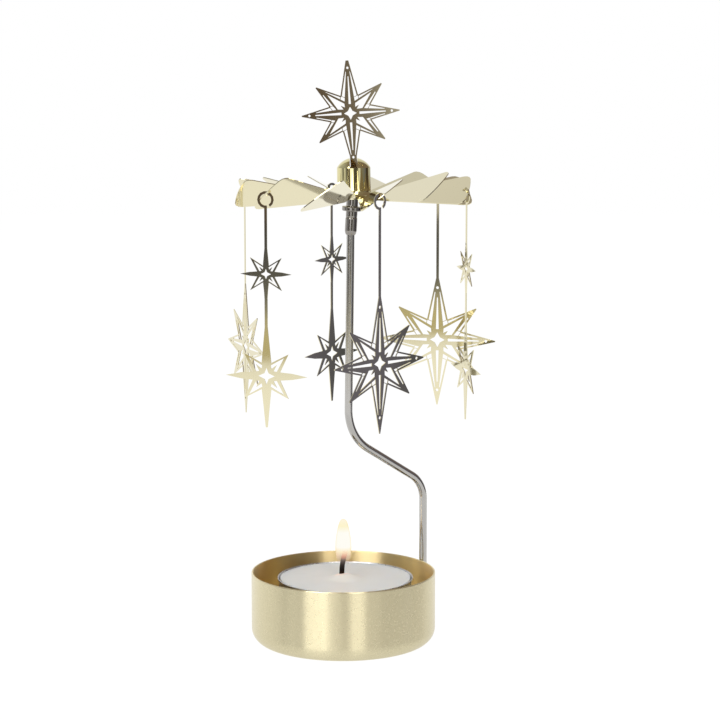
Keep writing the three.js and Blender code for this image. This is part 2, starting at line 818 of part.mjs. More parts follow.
function doubleStarGeometry() {
  const below = (points, reach, drop, way) => points.map(([x, y]) => [x * reach, way * y * reach - drop]);
  const move = (points, drop) => points.map(([x, y]) => [x, y - drop]);
  const strap = strapWidth / 2;
  const link = linkWidth / 2;
  const rightSide = [
    [strap, upperSpikeShares.aboveEnd * upperStarReach - upperStarDrop],
    ...below(upperSpikeShares.above, upperStarReach, upperStarDrop, 1),
    ...move(raySide(upperStarReach, upperStarDiagonalShares), upperStarDrop),
    ...below(upperSpikeShares.below, upperStarReach, upperStarDrop, -1),
    [link, -upperSpikeShares.belowEnd * upperStarReach - upperStarDrop],
    [link, lowerSpikeShares.aboveEnd * lowerStarReach - lowerStarDrop],
    ...below(lowerSpikeShares.above, lowerStarReach, lowerStarDrop, 1).reverse(),
    ...move(raySide(lowerStarReach, lowerStarDiagonalShares), lowerStarDrop),
    ...below(lowerSpikeShares.below, lowerStarReach, lowerStarDrop, -1),
    [lowerPointWidth / 2, -lowerPointLength - lowerStarDrop],
  ];
  return ornament(rightSide, [
    ...rayWindows(upperStarReach, upperStarDrop, upperStarDiagonalShares),
    ...rayWindows(lowerStarReach, lowerStarDrop, lowerStarDiagonalShares),
  ]);
}

// An ornament hangs by its ring from a blade's hole, plumb, its sheet turned from the rotor's rim
function ornamentPlace(index) {
  const bladePlace = new THREE.Matrix4()
    .makeTranslation(0, 0, discMiddle)
    .multiply(new THREE.Matrix4().makeRotationZ(bladeTurn(index)))
    .premultiply(turning.matrix)
    .multiply(bladeFrame(index));
  const hole = new THREE.Vector3(hookHole[0], hookHole[1], 0).applyMatrix4(bladePlace);
  const normal = new THREE.Vector3(0, 0, 1).transformDirection(bladePlace);
  const outward = Math.atan2(hole.y - pinTip.y, hole.x - pinTip.x);
  const facing = outward + quarterTurn + ornamentTurn + ornamentTwists[index / 2] * degree;
  const along = new THREE.Vector3(Math.cos(facing), Math.sin(facing), 0);
  const trace = new THREE.Vector2(normal.z, -normal.dot(along)).normalize();
  const ringX = -ringAlong * trace.x + ringBelow * trace.y;
  const ringZ = -ringAlong * trace.y - ringBelow * trace.x;
  return { centre: hole.addScaledVector(along, ringX).add(new THREE.Vector3(0, 0, ringZ)), facing };
}

const ornaments = [];
for (let index = 0; index < bladeBends.length; index += 2) {
  const single = index % 4 === 0;
  const letter = "abcdef"[index / 2];
  const name = single ? `single_star_${letter}` : `double_star_${letter}`;
  const geometry = single ? singleStarGeometry() : doubleStarGeometry();
  const mesh = named(name, geometry, materials.gildedSheet());
  const place = ornamentPlace(index);
  mesh.position.copy(place.centre);
  mesh.rotation.z = place.facing;
  ornaments.push(mesh);
}

// Star on the cap: the single star, smaller, with a blunt top point and a tab into the cap's slot
function topStarGeometry() {
  const tabDepth = domeHeight + hubWall + seatFit - tabSeatGap;
  const reach = starReach * topStarScale;
  const lowHole = starShares.lowHole * reach;
  const half = tabWidth / 2;
  const rightSide = [
    [topPointHalfWidth, uprightHeight(reach, topPointHalfWidth)],
    ...starSide(reach),
    [half, -uprightHeight(reach, half)],
    [half, -lowHole - topStarRaise - tabDepth],
  ];
  const outline = shapeOf([...rightSide, ...rightSide.slice().reverse().map(([x, y]) => [-x, y])]);
  const windows = [...starWindows(reach, 0), ...starHoles(reach, 0)];
  const star = piercedSheet(outline, windows, ornamentSheet).rotateX(quarterTurn);
  return star.translate(0, 0, lowHole + topStarRaise);
}

const topStar = named("top_star", topStarGeometry(), materials.gildedSheet());
topStar.rotation.y = -topStarLean;
const topStarStand = new THREE.Group();
topStarStand.position.z = domeTop;
topStarStand.rotation.z = topStarTurn;
topStarStand.add(topStar);
turning.add(pivotSeat, hubCap, rotor, topStarStand);

// Tealight: foil shell, wax with a low mound, wick and its tin foot
const shell = named("tealight_shell", turned([
  [0, 0],
  [tealightRadius - tealightTaper, 0],
  [tealightRadius - tealightLip, tealightHeight - tealightLip],
  [tealightRadius, tealightHeight],
  [tealightRadius - foilWall, tealightHeight],
  [tealightRadius - tealightLip - foilWall, tealightHeight - tealightLip],
  [tealightRadius - tealightTaper - foilWall, foilWall],
  [0, foilWall],
]), materials.foil());

const waxLow = foilWall + waxGap;
const waxTop = tealightHeight - waxDrop;

function waxBody() {
  const inside = (height) => tealightRadius - foilWall - waxGap
    - tealightTaper - (tealightLip - tealightTaper) * (height / (tealightHeight - tealightLip));
  const disc = turned([[0, waxLow], [inside(waxLow), waxLow], [inside(waxTop), waxTop], [0, waxTop]]);
  const mound = [[0, waxTop - waxMoundHeight], [waxMoundRadius, waxTop - waxMoundHeight]];
  for (let step = 0; step <= arcSteps; step += 1) {
    const share = 1 - step / arcSteps;
    mound.push([waxMoundRadius * share, waxTop + (waxMoundHeight * (1 + Math.cos(Math.PI * share))) / 2]);
  }
  const rise = turned(mound, smallRoundSides).translate(-wickSideset, wickBackset, 0);
  const footTop = waxLow + wickFootThickness + waxGap;
  const bore = turned([
    [0, -overrun],
    [wickFootRadius + waxGap, -overrun],
    [wickFootRadius + waxGap, footTop],
    [wickCollarRadius + waxGap, footTop],
    [wickCollarRadius + waxGap, footTop + wickCollarHeight],
    [wickRadius + wickGap, footTop + wickCollarHeight],
    [wickRadius + wickGap, tealightHeight + overrun],
    [0, tealightHeight + overrun],
  ], smallRoundSides).translate(-wickSideset, wickBackset, 0);
  return cut(joined([disc, rise]), [bore]);
}

const wax = named("wax", waxBody(), materials.paraffin());

const footLow = foilWall + waxGap;
const wickFoot = named("wick_foot", turned([
  [wickRadius + wickGap, footLow],
  [wickFootRadius, footLow],
  [wickFootRadius, footLow + wickFootThickness],
  [wickCollarRadius, footLow + wickFootThickness],
  [wickCollarRadius, footLow + wickCollarHeight],
  [wickRadius + wickGap, footLow + wickCollarHeight],
  [wickRadius + wickGap, footLow],
], smallRoundSides), materials.tinPlate());
wickFoot.position.set(-wickSideset, wickBackset, 0);

function wickGeometry() {
  const base = waxTop + waxMoundHeight;
  const path = new THREE.CurvePath();
  const foot = new THREE.Vector3(0, 0, footLow + wickFootThickness);
  const mouth = new THREE.Vector3(0, 0, base);
  const tip = new THREE.Vector3(wickLean, 0, base + wickRise);
  path.add(new THREE.LineCurve3(foot, mouth));
  path.add(new THREE.QuadraticBezierCurve3(mouth, new THREE.Vector3(0, 0, base + wickRise / 2), tip));
  const section = shapeOf(arcPoints([0, 0], wickRadius, 0, fullTurn, wireSides).slice(1));
  return new THREE.ExtrudeGeometry(section, { steps: 2 * arcSteps, bevelEnabled: false, extrudePath: path });
}

const wick = named("wick", wickGeometry(), materials.braidedCotton());
wick.position.set(-wickSideset, wickBackset, 0);

const tealight = new THREE.Group();
tealight.position.set(tealightX, 0, tealightBase);
tealight.add(shell, wax, wickFoot, wick);

const carousel = new THREE.Group();
carousel.add(cup, wireClip, supportWire, head, turning, ...ornaments, tealight);

export default carousel;
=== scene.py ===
"""Candle carousel: the smooth pieces, finishes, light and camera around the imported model.

Lengths are in metres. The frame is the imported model's: the origin is the centre of the cup's
underside, +Z is up, +X is to the right and +Y is to the back.
"""

import math

import bpy
from mathutils import Matrix, Vector


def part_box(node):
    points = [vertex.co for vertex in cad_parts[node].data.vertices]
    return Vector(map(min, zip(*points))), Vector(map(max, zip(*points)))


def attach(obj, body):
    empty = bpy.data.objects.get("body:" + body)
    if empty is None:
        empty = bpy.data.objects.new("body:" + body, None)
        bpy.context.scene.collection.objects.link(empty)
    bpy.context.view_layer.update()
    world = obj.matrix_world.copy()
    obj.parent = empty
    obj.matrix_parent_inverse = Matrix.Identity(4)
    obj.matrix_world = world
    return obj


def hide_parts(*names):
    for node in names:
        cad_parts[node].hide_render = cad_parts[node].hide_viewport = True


bl_info = {
    "name": "Candle Carousel",
    "version": (1, 0, 0),
    "blender": (4, 5, 0),
    "location": "View3D > Sidebar > Carousel",
    "description": "Builds a tealight carousel's turned, drawn and wax pieces and its studio",
    "category": "Add Mesh",
}

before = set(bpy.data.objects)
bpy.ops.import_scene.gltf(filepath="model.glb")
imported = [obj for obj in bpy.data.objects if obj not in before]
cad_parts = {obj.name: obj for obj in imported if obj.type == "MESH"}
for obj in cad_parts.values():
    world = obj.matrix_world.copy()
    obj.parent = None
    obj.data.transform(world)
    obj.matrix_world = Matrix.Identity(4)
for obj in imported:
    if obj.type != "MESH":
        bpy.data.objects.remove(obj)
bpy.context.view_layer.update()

MM = 0.001
FULL_TURN = 2 * math.pi
QUARTER_TURN = math.pi / 2

CUP_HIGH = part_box("cup")[1]
SHELL_LOW, SHELL_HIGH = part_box("tealight_shell")
WICK_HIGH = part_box("wick")[1]
WICK_FOOT_LOW, WICK_FOOT_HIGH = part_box("wick_foot")

CUP_RADIUS = CUP_HIGH[0]
SHELL_RADIUS = (SHELL_HIGH[0] - SHELL_LOW[0]) / 2
SHELL_X = (SHELL_HIGH[0] + SHELL_LOW[0]) / 2
WICK_X = (WICK_FOOT_HIGH[0] + WICK_FOOT_LOW[0]) / 2
WICK_Y = (WICK_FOOT_HIGH[1] + WICK_FOOT_LOW[1]) / 2
WAX_BELOW_RIM = 0.45 * MM
FLAME_LAMP_HEIGHT = 28 * MM


# The wire's upper end, and the head that stands on it at a lean

POST_TOP = Vector((2.1, 0, 116)) * MM
HEAD_LEAN = math.radians(3.05)
HEAD_UP = Vector((math.sin(HEAD_LEAN), 0, math.cos(HEAD_LEAN)))
HEAD_PLACE = Matrix.Translation(POST_TOP) @ Matrix.Rotation(HEAD_LEAN, 4, "Y")
SLEEVE_LENGTH = 6.6 * MM
PIN_LENGTH = 16.8 * MM
PIN_TIP = POST_TOP + HEAD_UP * PIN_LENGTH


# How the rotor settles on the pin's point, and the seat inside its hub cap

ROTOR_TILT = math.radians(0.77)
ROTOR_PLACE = (
    Matrix.Translation(PIN_TIP)
    @ Matrix.Rotation(-ROTOR_TILT, 4, "X")
    @ Matrix.Rotation(-ROTOR_TILT, 4, "Y")
)
PIVOT_GAP = 0.25 * MM
SEAT_DIMPLE_DEPTH = 0.9 * MM
SEAT_THICKNESS = 2.2 * MM
SEAT_PLAY = 0.05 * MM
SEAT_LOW = PIVOT_GAP - SEAT_DIMPLE_DEPTH
SLOT_WIDTH = 2.116 * MM


# Colours


def linear(hex_code):
    """Turns an sRGB hex value to the linear colour that a shader takes."""
    channels = [int(hex_code[place : place + 2], 16) / 255 for place in (0, 2, 4)]
    values = [c / 12.92 if c <= 0.04045 else ((c + 0.055) / 1.055) ** 2.4 for c in channels]
    return (*values, 1.0)


def colour_property(name, description, hex_code):
    """A colour that the user may change, with its default from a hex value."""
    return bpy.props.FloatVectorProperty(
        name=name, description=description, subtype="COLOR", size=4, min=0, max=1,
        default=linear(hex_code),
    )


def length_property(name, description, value):
    """A length that the user may change."""
    return bpy.props.FloatProperty(
        name=name, description=description, default=value, min=0, unit="LENGTH", precision=5
    )


# Settings


class CupSettings(bpy.types.PropertyGroup):
    """Sizes of the drawn cup."""

    radius: length_property("Radius", "Outside radius of the cup", CUP_RADIUS)
    height: length_property("Height", "Height of the cup's rim", CUP_HIGH[2])
    wall: length_property("Wall", "Thickness of the sheet", 0.5 * MM)
    corner: length_property("Corner", "Outside radius of the lower corner", 4.3 * MM)
    rim: length_property("Rim", "Radius of the rounded rim", 0.25 * MM)


class WireSettings(bpy.types.PropertyGroup):
    """Sizes of the bent wire and of what its top end carries."""

    radius: length_property("Radius", "Radius of the wire", 1.12 * MM)
    lower_bend: length_property("Lower bend", "Radius of the bend above the cup", 8.7 * MM)
    upper_bend: length_property("Upper bend", "Radius of the bend under the post", 13.4 * MM)


class CapSettings(bpy.types.PropertyGroup):
    """Sizes of the domed hub cap."""

    radius: length_property("Radius", "Outside radius of the cap's wall", 4.66 * MM)
    height: length_property("Height", "Height of the cap", 10.9 * MM)
    dome: length_property("Dome", "Height of the domed top", 2.7 * MM)
    flare_radius: length_property("Flare radius", "Radius of the flared foot", 6.2 * MM)
    flare_height: length_property("Flare height", "Height at which the flare starts", 1.9 * MM)
    wall: length_property("Wall", "Thickness of the sheet", 0.3 * MM)


class CandleSettings(bpy.types.PropertyGroup):
    """Sizes of the wax, the wick and the flame."""

    mound_radius: length_property("Mound radius", "Radius of the low mound at the wick", 6.5 * MM)
    mound_height: length_property("Mound height", "Height of the low mound at the wick", 1.3 * MM)
    wick_radius: length_property("Wick radius", "Radius of the braided wick", 0.72 * MM)
    flame_width: length_property("Flame width", "Widest width of the flame", 4.6 * MM)
    flame_height: length_property("Flame height", "Height of the flame", 15.6 * MM)


class FinishSettings(bpy.types.PropertyGroup):
    """Colours of the finishes."""

    cup_gold: colour_property("Cup gold", "Plating of the cup", "E9DFBA")
    sheet_gold: colour_property("Sheet gold", "Plating of the rotor and the ornaments", "E9E1BF")
    cap_gold: colour_property("Cap gold", "Plating of the hub cap", "E6DDA8")
    wire_steel: colour_property("Wire steel", "Bare steel of the wire", "C6C4C0")
    wax_white: colour_property("Wax", "Paraffin of the tealight", "E0E1DF")
    flame_heart: colour_property("Flame heart", "Brightest part of the flame", "FFFDF4")
    flame_edge: colour_property("Flame edge", "Outer skin of the flame", "FCF5E0")


class StageSettings(bpy.types.PropertyGroup):
    """Floor, light and camera."""

    camera_distance: length_property("Camera distance", "How far the camera stands in front", 652.02 * MM)
    camera_height: length_property("Camera height", "Height of the camera", 174.39 * MM)
    camera_side: length_property("Camera side", "How far to the right the camera stands", 4.735 * MM)
    camera_pitch: bpy.props.FloatProperty(
        name="Camera pitch", description="Downward angle of the camera", subtype="ANGLE",
        default=math.radians(8.173),
    )
    camera_lens: bpy.props.FloatProperty(
        name="Camera lens", description="Focal length in millimetres", default=117.41, min=1
    )


class CarouselSettings(bpy.types.PropertyGroup):
    """All settings of the candle carousel."""

    cup: bpy.props.PointerProperty(type=CupSettings)
    wire: bpy.props.PointerProperty(type=WireSettings)
    cap: bpy.props.PointerProperty(type=CapSettings)
    candle: bpy.props.PointerProperty(type=CandleSettings)
    finish: bpy.props.PointerProperty(type=FinishSettings)
    stage: bpy.props.PointerProperty(type=StageSettings)


def settings():
    """The carousel's settings in this scene."""
    return bpy.context.scene.candle_carousel


# Materials


def add_node(material, kind, values=None, links=None):
    """Adds a node, sets its sockets and options, and links its inputs from (node, output) pairs."""
    tree = material.node_tree
    node = tree.nodes.new(kind)
    for key, value in (values or {}).items():
        if isinstance(key, int) or key in node.inputs:
            node.inputs[key].default_value = value
        else:
            setattr(node, key, value)
    for key, (source, output) in (links or {}).items():
        tree.links.new(source.outputs[output], node.inputs[key])
    return node


def new_material(name):
    """An empty node material with its output, and its object coordinates."""
    material = bpy.data.materials.new(name)
    material.use_nodes = True
    material.node_tree.nodes.clear()
    place = add_node(material, "ShaderNodeTexCoord")
    return material, place


def finish_material(material, shader, output="BSDF"):
    """Links the shader to a new material output."""
    add_node(material, "ShaderNodeOutputMaterial", links={"Surface": (shader, output)})
    return material


def paint(target, material):
    """Gives an object one material."""
    target.data.materials.clear()
    target.data.materials.append(material)


def set_stops(ramp, stops):
    """Replaces a colour ramp's stops with (position, colour) pairs."""
    elements = ramp.color_ramp.elements
    while len(elements) > 1:
        elements.remove(elements[-1])
    elements[0].position, elements[0].color = stops[0]
    for position, colour in stops[1:]:
        elements.new(position).color = colour


def grey(value):
    """A neutral colour."""
    return (value, value, value, 1.0)


# Sockets of a Mix node that mixes colours: two inputs and the output

COLOUR_A = 6
COLOUR_B = 7
MIXED = 2


def noise(material, source, size, detail, roughness=0.5, output="Object"):
    """A noise with grains of about the given size."""
    return add_node(
        material, "ShaderNodeTexNoise", {"Scale": 1 / size, "Detail": detail, "Roughness": roughness},
        {"Vector": (source, output)},
    )


def varied_gloss(material, pattern, low, high):
    """A roughness that follows a noise, most of which lies between 0.3 and 0.7."""
    return add_node(
        material, "ShaderNodeMapRange", {"From Min": 0.3, "From Max": 0.7, "To Min": low, "To Max": high},
        {"Value": (pattern, "Fac")},
    )


def fine_relief(material, pattern, depth, strength=1.0):
    """Bumps of the given depth that follow a pattern."""
    return add_node(
        material, "ShaderNodeBump", {"Strength": strength, "Distance": depth}, {"Height": (pattern, "Fac")}
    )


def math_node(material, operation, *inputs):
    """A Math node whose inputs are numbers or (node, output) pairs."""
    numbers = {socket: entry for socket, entry in enumerate(inputs) if not isinstance(entry, tuple)}
    links = {socket: entry for socket, entry in enumerate(inputs) if isinstance(entry, tuple)}
    return add_node(material, "ShaderNodeMath", {"operation": operation, **numbers}, links)


def centred_on(material, place, centre):
    """Object coordinates, moved so that the centre is at their zero."""
    return add_node(
        material, "ShaderNodeMapping", {"Location": tuple(-value for value in centre)},
        {"Vector": (place, "Object")},
    )


def length_of(material, source, output):
    """The length of a vector."""
    return add_node(material, "ShaderNodeVectorMath", {"operation": "LENGTH"}, {0: (source, output)})


def height_share(material, place, low, high):
    """0 at the low height and 1 at the high one."""
    split = add_node(material, "ShaderNodeSeparateXYZ", links={0: (place, "Object")})
    return add_node(
        material, "ShaderNodeMapRange", {"From Min": low, "From Max": high}, {"Value": (split, "Z")}
    )


def mix_shaders(material, share, first, second):
    """Goes from the first shader to the second as the share grows; all are (node, output) pairs."""
    return add_node(material, "ShaderNodeMixShader", links={0: share, 1: first, 2: second})


def plated_metal(name, colour, roughness, waviness, wave_mm, speck_mm, bare=None):
    """Polished plating over drawn or rolled metal.

    A slow swell bends the reflections a little, as in real sheet, and fine specks of polish haze
    vary the gloss, so that the eye reads thin metal and not a mirror of glass. Inside the bare
    hollow, given as its ball's centre, the ball's radius and the bore's radius, the raw brass keeps
    its dull brown skin.
    """
    material, place = new_material(name)
    swell = noise(material, place, wave_mm * MM, detail=1.0, roughness=0.4)
    haze = noise(material, place, speck_mm * MM, detail=3.0, roughness=0.6)
    gloss = varied_gloss(material, haze, roughness * 0.85, roughness * 1.15)
    relief = fine_relief(material, swell, waviness * MM)
    shader = add_node(
        material, "ShaderNodeBsdfPrincipled", {"Base Color": colour, "Metallic": 1.0},
        {"Roughness": (gloss, "Result"), "Normal": (relief, "Normal")},
    )
    if not bare:
        return finish_material(material, shader)
    skin = add_node(
        material, "ShaderNodeBsdfPrincipled", {"Base Color": linear("C8BCB0"), "Roughness": 0.7}
    )
    hollow = hollow_mask(material, place, *bare)
    mixed = mix_shaders(material, (hollow, "Result"), (shader, "BSDF"), (skin, "BSDF"))
    return finish_material(material, mixed, "Shader")


def hollow_mask(material, place, ball_centre, ball, bore):
    """1 inside a round bore about Z that a ball closes at the top, and 0 outside it."""
    centred = centred_on(material, place, ball_centre)
    from_ball = length_of(material, centred, "Vector")
    flat = add_node(
        material, "ShaderNodeVectorMath", {"operation": "MULTIPLY", 1: (1.0, 1.0, 0.0)},
        {0: (centred, "Vector")},
    )
    from_axis = length_of(material, flat, "Vector")
    ball_share = math_node(material, "DIVIDE", (from_ball, "Value"), ball)
    bore_share = math_node(material, "DIVIDE", (from_axis, "Value"), bore)
    share = math_node(material, "MAXIMUM", (ball_share, "Value"), (bore_share, "Value"))
    return add_node(
        material, "ShaderNodeMapRange", {"From Min": 1.01, "From Max": 0.99}, {"Value": (share, "Value")}
    )


def drawn_plating(name, colour, painted_reflection_colour, roughness, grain_mm, bore, bore_low):
    """Satin plating on a cup that was drawn up through a die.

    The die's fine vertical lines draw each lamp out to a tall soft streak, and a faint grain of the
    plating breaks the streak's edge. The grain is drawn coarser than the real one, which is too fine
    to show. Inside the bore the plating is rougher, and its colour there is a painted reflection: the
    deeper yellow that the gold takes from mirroring itself.
    """
    material, place = new_material(name)
    grain = noise(material, place, grain_mm * MM, detail=2.0, roughness=0.6)
    gloss = varied_gloss(material, grain, roughness * 0.85, roughness * 1.15)
    relief = fine_relief(material, grain, 0.008 * MM)
    corner_blend = 3 * MM
    above = height_share(material, place, bore_low, bore_low + corner_blend)
    # The cup is open, so the ball that would close it is a metre in radius and never reached.
    unreached_ball = 1.0
    hollow = hollow_mask(material, place, (0, 0, 0), unreached_ball, bore)
    within = math_node(material, "MULTIPLY", (hollow, "Result"), (above, "Result"))
    # Painted reflection: inside the bore the colour turns a deeper yellow, in place of the gold mirrored in
    # itself.
    tint_with_painted_reflection = add_node(
        material, "ShaderNodeMix", {"data_type": "RGBA", COLOUR_A: colour, COLOUR_B: painted_reflection_colour},
        {"Factor": (within, "Value")},
    )
    extra_roughness = 0.12
    rougher = math_node(
        material, "MULTIPLY_ADD", (within, "Value"), extra_roughness, (gloss, "Result")
    )
    round_axis = add_node(material, "ShaderNodeTangent", {"direction_type": "RADIAL", "axis": "Z"})
    shader = add_node(
        material, "ShaderNodeBsdfPrincipled",
        {"Metallic": 1.0, "Anisotropic": 1.0, "Anisotropic Rotation": 0.25},
        {
            "Base Color": (tint_with_painted_reflection, MIXED), "Roughness": (rougher, "Value"), "Normal": (relief, "Normal"),
            "Tangent": (round_axis, "Tangent"),
        },
    )
    return finish_material(material, shader)


def drawn_steel(name, colour, roughness, line_mm):
    """Bare drawn or turned steel: fine lines along its length or round it vary tone and gloss."""
    material, place = new_material(name)
    stretch = add_node(
        material, "ShaderNodeMapping", {"Scale": (1.0, 1.0, 0.02)}, {"Vector": (place, "Object")}
    )
    lines = noise(material, stretch, line_mm * MM, detail=2.0, output="Vector")
    tone = add_node(
        material, "ShaderNodeMix",
        {"data_type": "RGBA", "blend_type": "MULTIPLY", "Factor": 0.08, COLOUR_A: colour},
        {COLOUR_B: (lines, "Fac")},
    )
    gloss = varied_gloss(material, lines, roughness * 0.93, roughness * 1.08)
    shader = add_node(
        material, "ShaderNodeBsdfPrincipled", {"Metallic": 1.0},
        {"Base Color": (tone, MIXED), "Roughness": (gloss, "Result")},
    )
    return finish_material(material, shader)


def paraffin_wax(name, colour, glow_centre):
    """Poured paraffin: cloudy under the skin, with a painted orange glow of the flame's light round the
    wick.
    """
    material, place = new_material(name)
    clouds = noise(material, place, 4 * MM, detail=3.0)
    relief = fine_relief(material, clouds, 0.05 * MM, strength=0.5)
    tone = add_node(
        material, "ShaderNodeMix",
        {"data_type": "RGBA", "blend_type": "MULTIPLY", "Factor": 0.06, COLOUR_A: colour},
        {COLOUR_B: (clouds, "Fac")},
    )
    away = length_of(material, centred_on(material, place, glow_centre), "Vector")
    # Painted light: the wax itself emits an orange glow near the wick, in place of the flame's light on it.
    painted_flame_glow = add_node(
        material, "ShaderNodeMapRange",
        {
            "interpolation_type": "SMOOTHERSTEP", "From Min": 0.6 * MM, "From Max": 3.2 * MM,
            "To Min": 0.22, "To Max": 0.0,
        },
        {"Value": (away, "Value")},
    )
    # The emission colour is the orange of the painted glow.
    shader = add_node(
        material, "ShaderNodeBsdfPrincipled",
        {
            "Roughness": 0.45, "IOR": 1.44, "Subsurface Weight": 0.6, "Subsurface Scale": 3 * MM,
            "Subsurface Radius": (1.0, 0.8, 0.6), "Emission Color": linear("FF9A3C"),
        },
        {"Base Color": (tone, MIXED), "Normal": (relief, "Normal"), "Emission Strength": (painted_flame_glow, "Result")},
    )
    return finish_material(material, shader)


def charred_cotton(name, base_z, tip_z):
    """Braided cotton burnt black, glowing orange at the tip inside the flame."""
    material, place = new_material(name)
    height = height_share(material, place, base_z, tip_z)
    braid = add_node(
        material, "ShaderNodeTexWave",
        {"bands_direction": "DIAGONAL", "Scale": 1 / (2.6 * MM), "Distortion": 1.5},
        {"Vector": (place, "Object")},
    )
    relief = fine_relief(material, braid, 0.15 * MM, strength=0.8)
    char = add_node(material, "ShaderNodeValToRGB", links={"Fac": (height, "Result")})
    set_stops(char, [(0.0, linear("2A1C14")), (0.15, linear("0C0705")), (1.0, linear("140A07"))])
    ember = add_node(material, "ShaderNodeValToRGB", links={"Fac": (height, "Result")})
    set_stops(ember, [(0.0, grey(0.0)), (0.62, grey(0.0)), (0.8, grey(0.7)), (1.0, grey(1.0))])
    shader = add_node(
        material, "ShaderNodeBsdfPrincipled",
        {"Roughness": 0.95, "Specular IOR Level": 0.1, "Emission Color": linear("E8501E")},
        {"Base Color": (char, "Color"), "Normal": (relief, "Normal"), "Emission Strength": (ember, "Color")},
    )
    return finish_material(material, shader)


def burning_gas(name, heart, edge, low, high):
    """A candle's flame: clear and dim at the foot, amber at the wick's tip, cream-white above it."""
    material, place = new_material(name)
    height = height_share(material, place, low, high)
    core = add_node(material, "ShaderNodeValToRGB", links={"Fac": (height, "Result")})
    set_stops(core, [
        (0.0, linear("C2B8B2")), (0.2, linear("DCC6BC")), (0.32, linear("F7DAC0")), (0.41, linear("FFEFCC")),
        (0.5, heart), (0.76, heart), (0.88, linear("FDF4CC")), (1.0, linear("FFF6DE")),
    ])
    facing = add_node(material, "ShaderNodeLayerWeight", {"Blend": 0.5})
    rim = add_node(
        material, "ShaderNodeMapRange", {"From Min": 0.35, "From Max": 0.85}, {"Value": (facing, "Facing")}
    )
    hue = add_node(
        material, "ShaderNodeMix", {"data_type": "RGBA", "blend_type": "MULTIPLY", COLOUR_B: edge},
        {"Factor": (rim, "Result"), COLOUR_A: (core, "Color")},
    )
    body = add_node(material, "ShaderNodeValToRGB", links={"Fac": (height, "Result")})
    set_stops(body, [
        (0.0, grey(0.0)), (0.12, grey(0.02)), (0.18, grey(0.06)), (0.24, grey(0.16)), (0.32, grey(0.45)),
        (0.4, grey(0.85)), (0.48, grey(1.0)), (1.0, grey(0.95)),
    ])
    glow = add_node(material, "ShaderNodeEmission", {"Strength": 1.0}, {"Color": (hue, MIXED)})
    clear = add_node(material, "ShaderNodeBsdfTransparent")
    blend = mix_shaders(material, (body, "Color"), (clear, "BSDF"), (glow, "Emission"))
    return finish_material(material, blend, "Shader")


# Modelling helpers


def deselect_all():
    """Leaves nothing selected in object mode."""
    if bpy.context.mode != "OBJECT":
        bpy.ops.object.mode_set(mode="OBJECT")
    bpy.ops.object.select_all(action="DESELECT")


def select_only(piece):
    """Selects one object and makes it the active one."""
    deselect_all()
    piece.select_set(True)
    bpy.context.view_layer.objects.active = piece


def trace(name, points):
    """Adds one point and extrudes it through the others: a profile or a path, left in edit mode."""
    deselect_all()
    bpy.ops.mesh.primitive_plane_add(size=MM, location=(0, 0, 0))
    piece = bpy.context.object
    piece.name = name
    piece.data.name = name
    bpy.ops.object.mode_set(mode="EDIT")
    bpy.ops.mesh.select_all(action="SELECT")
    bpy.ops.mesh.merge(type="CENTER")
    bpy.ops.transform.translate(value=points[0])
    for start, end in zip(points, points[1:]):
        bpy.ops.mesh.extrude_region_move(TRANSFORM_OT_translate={"value": end - start})
    return piece


def supported(profile):
    """Adds a point near both ends of each long straight run, so that its shading stays straight."""
    margin = 0.04 * MM
    points = profile[:1]
    for start, end in zip(profile, profile[1:]):
        length = math.dist(start, end)
        if length > 10 * margin:
            for share in (margin / length, 1 - margin / length):
                points.append(tuple(a + (b - a) * share for a, b in zip(start, end)))
        points.append(end)
    return points


def turn_profile(name, profile, steps):
    """Spins a profile of (radius, height) pairs round Z and closes it to a smooth solid."""
    piece = trace(name, [Vector((radius, 0, height)) for radius, height in supported(profile)])
    bpy.ops.mesh.select_all(action="SELECT")
    bpy.ops.mesh.spin(steps=steps, angle=FULL_TURN, center=(0, 0, 0), axis=(0, 0, 1))
    bpy.ops.mesh.select_all(action="SELECT")
    bpy.ops.mesh.remove_doubles(threshold=0.002 * MM)
    bpy.ops.mesh.normals_make_consistent(inside=False)
    bpy.ops.object.mode_set(mode="OBJECT")
    smooth(piece)
    return piece


def smooth(piece, angle=math.radians(35)):
    """Shades an object smooth but keeps its real edges."""
    select_only(piece)
    bpy.ops.object.shade_smooth_by_angle(angle=angle)


def place_mesh(piece, matrix):
    """Moves a finished piece's mesh to its place, with its object left at the origin."""
    select_only(piece)
    piece.matrix_world = matrix
    bpy.ops.object.transform_apply(location=True, rotation=True, scale=True)


def arc(centre, radius, start, end, steps):
    """Points of an arc in the profile's plane."""
    return [
        (
            centre[0] + radius * math.cos(start + (end - start) * step / steps),
            centre[1] + radius * math.sin(start + (end - start) * step / steps),
        )
        for step in range(steps + 1)
    ]


def tube(name, points, radius, resolution=8):
    """A round solid along a path, with filled ends."""
    piece = trace(name, points)
    bpy.ops.object.mode_set(mode="OBJECT")
    bpy.ops.object.convert(target="CURVE")
    curve = bpy.context.object
    curve.data.dimensions = "3D"
    curve.data.bevel_depth = radius
    curve.data.bevel_resolution = resolution
    curve.data.use_fill_caps = True
    bpy.ops.object.convert(target="MESH")
    piece = bpy.context.object
    bpy.ops.object.mode_set(mode="EDIT")
    bpy.ops.mesh.select_all(action="SELECT")
    bpy.ops.mesh.remove_doubles(threshold=0.001 * MM)
    bpy.ops.mesh.normals_make_consistent(inside=False)
    bpy.ops.object.mode_set(mode="OBJECT")
    smooth(piece)
    return piece


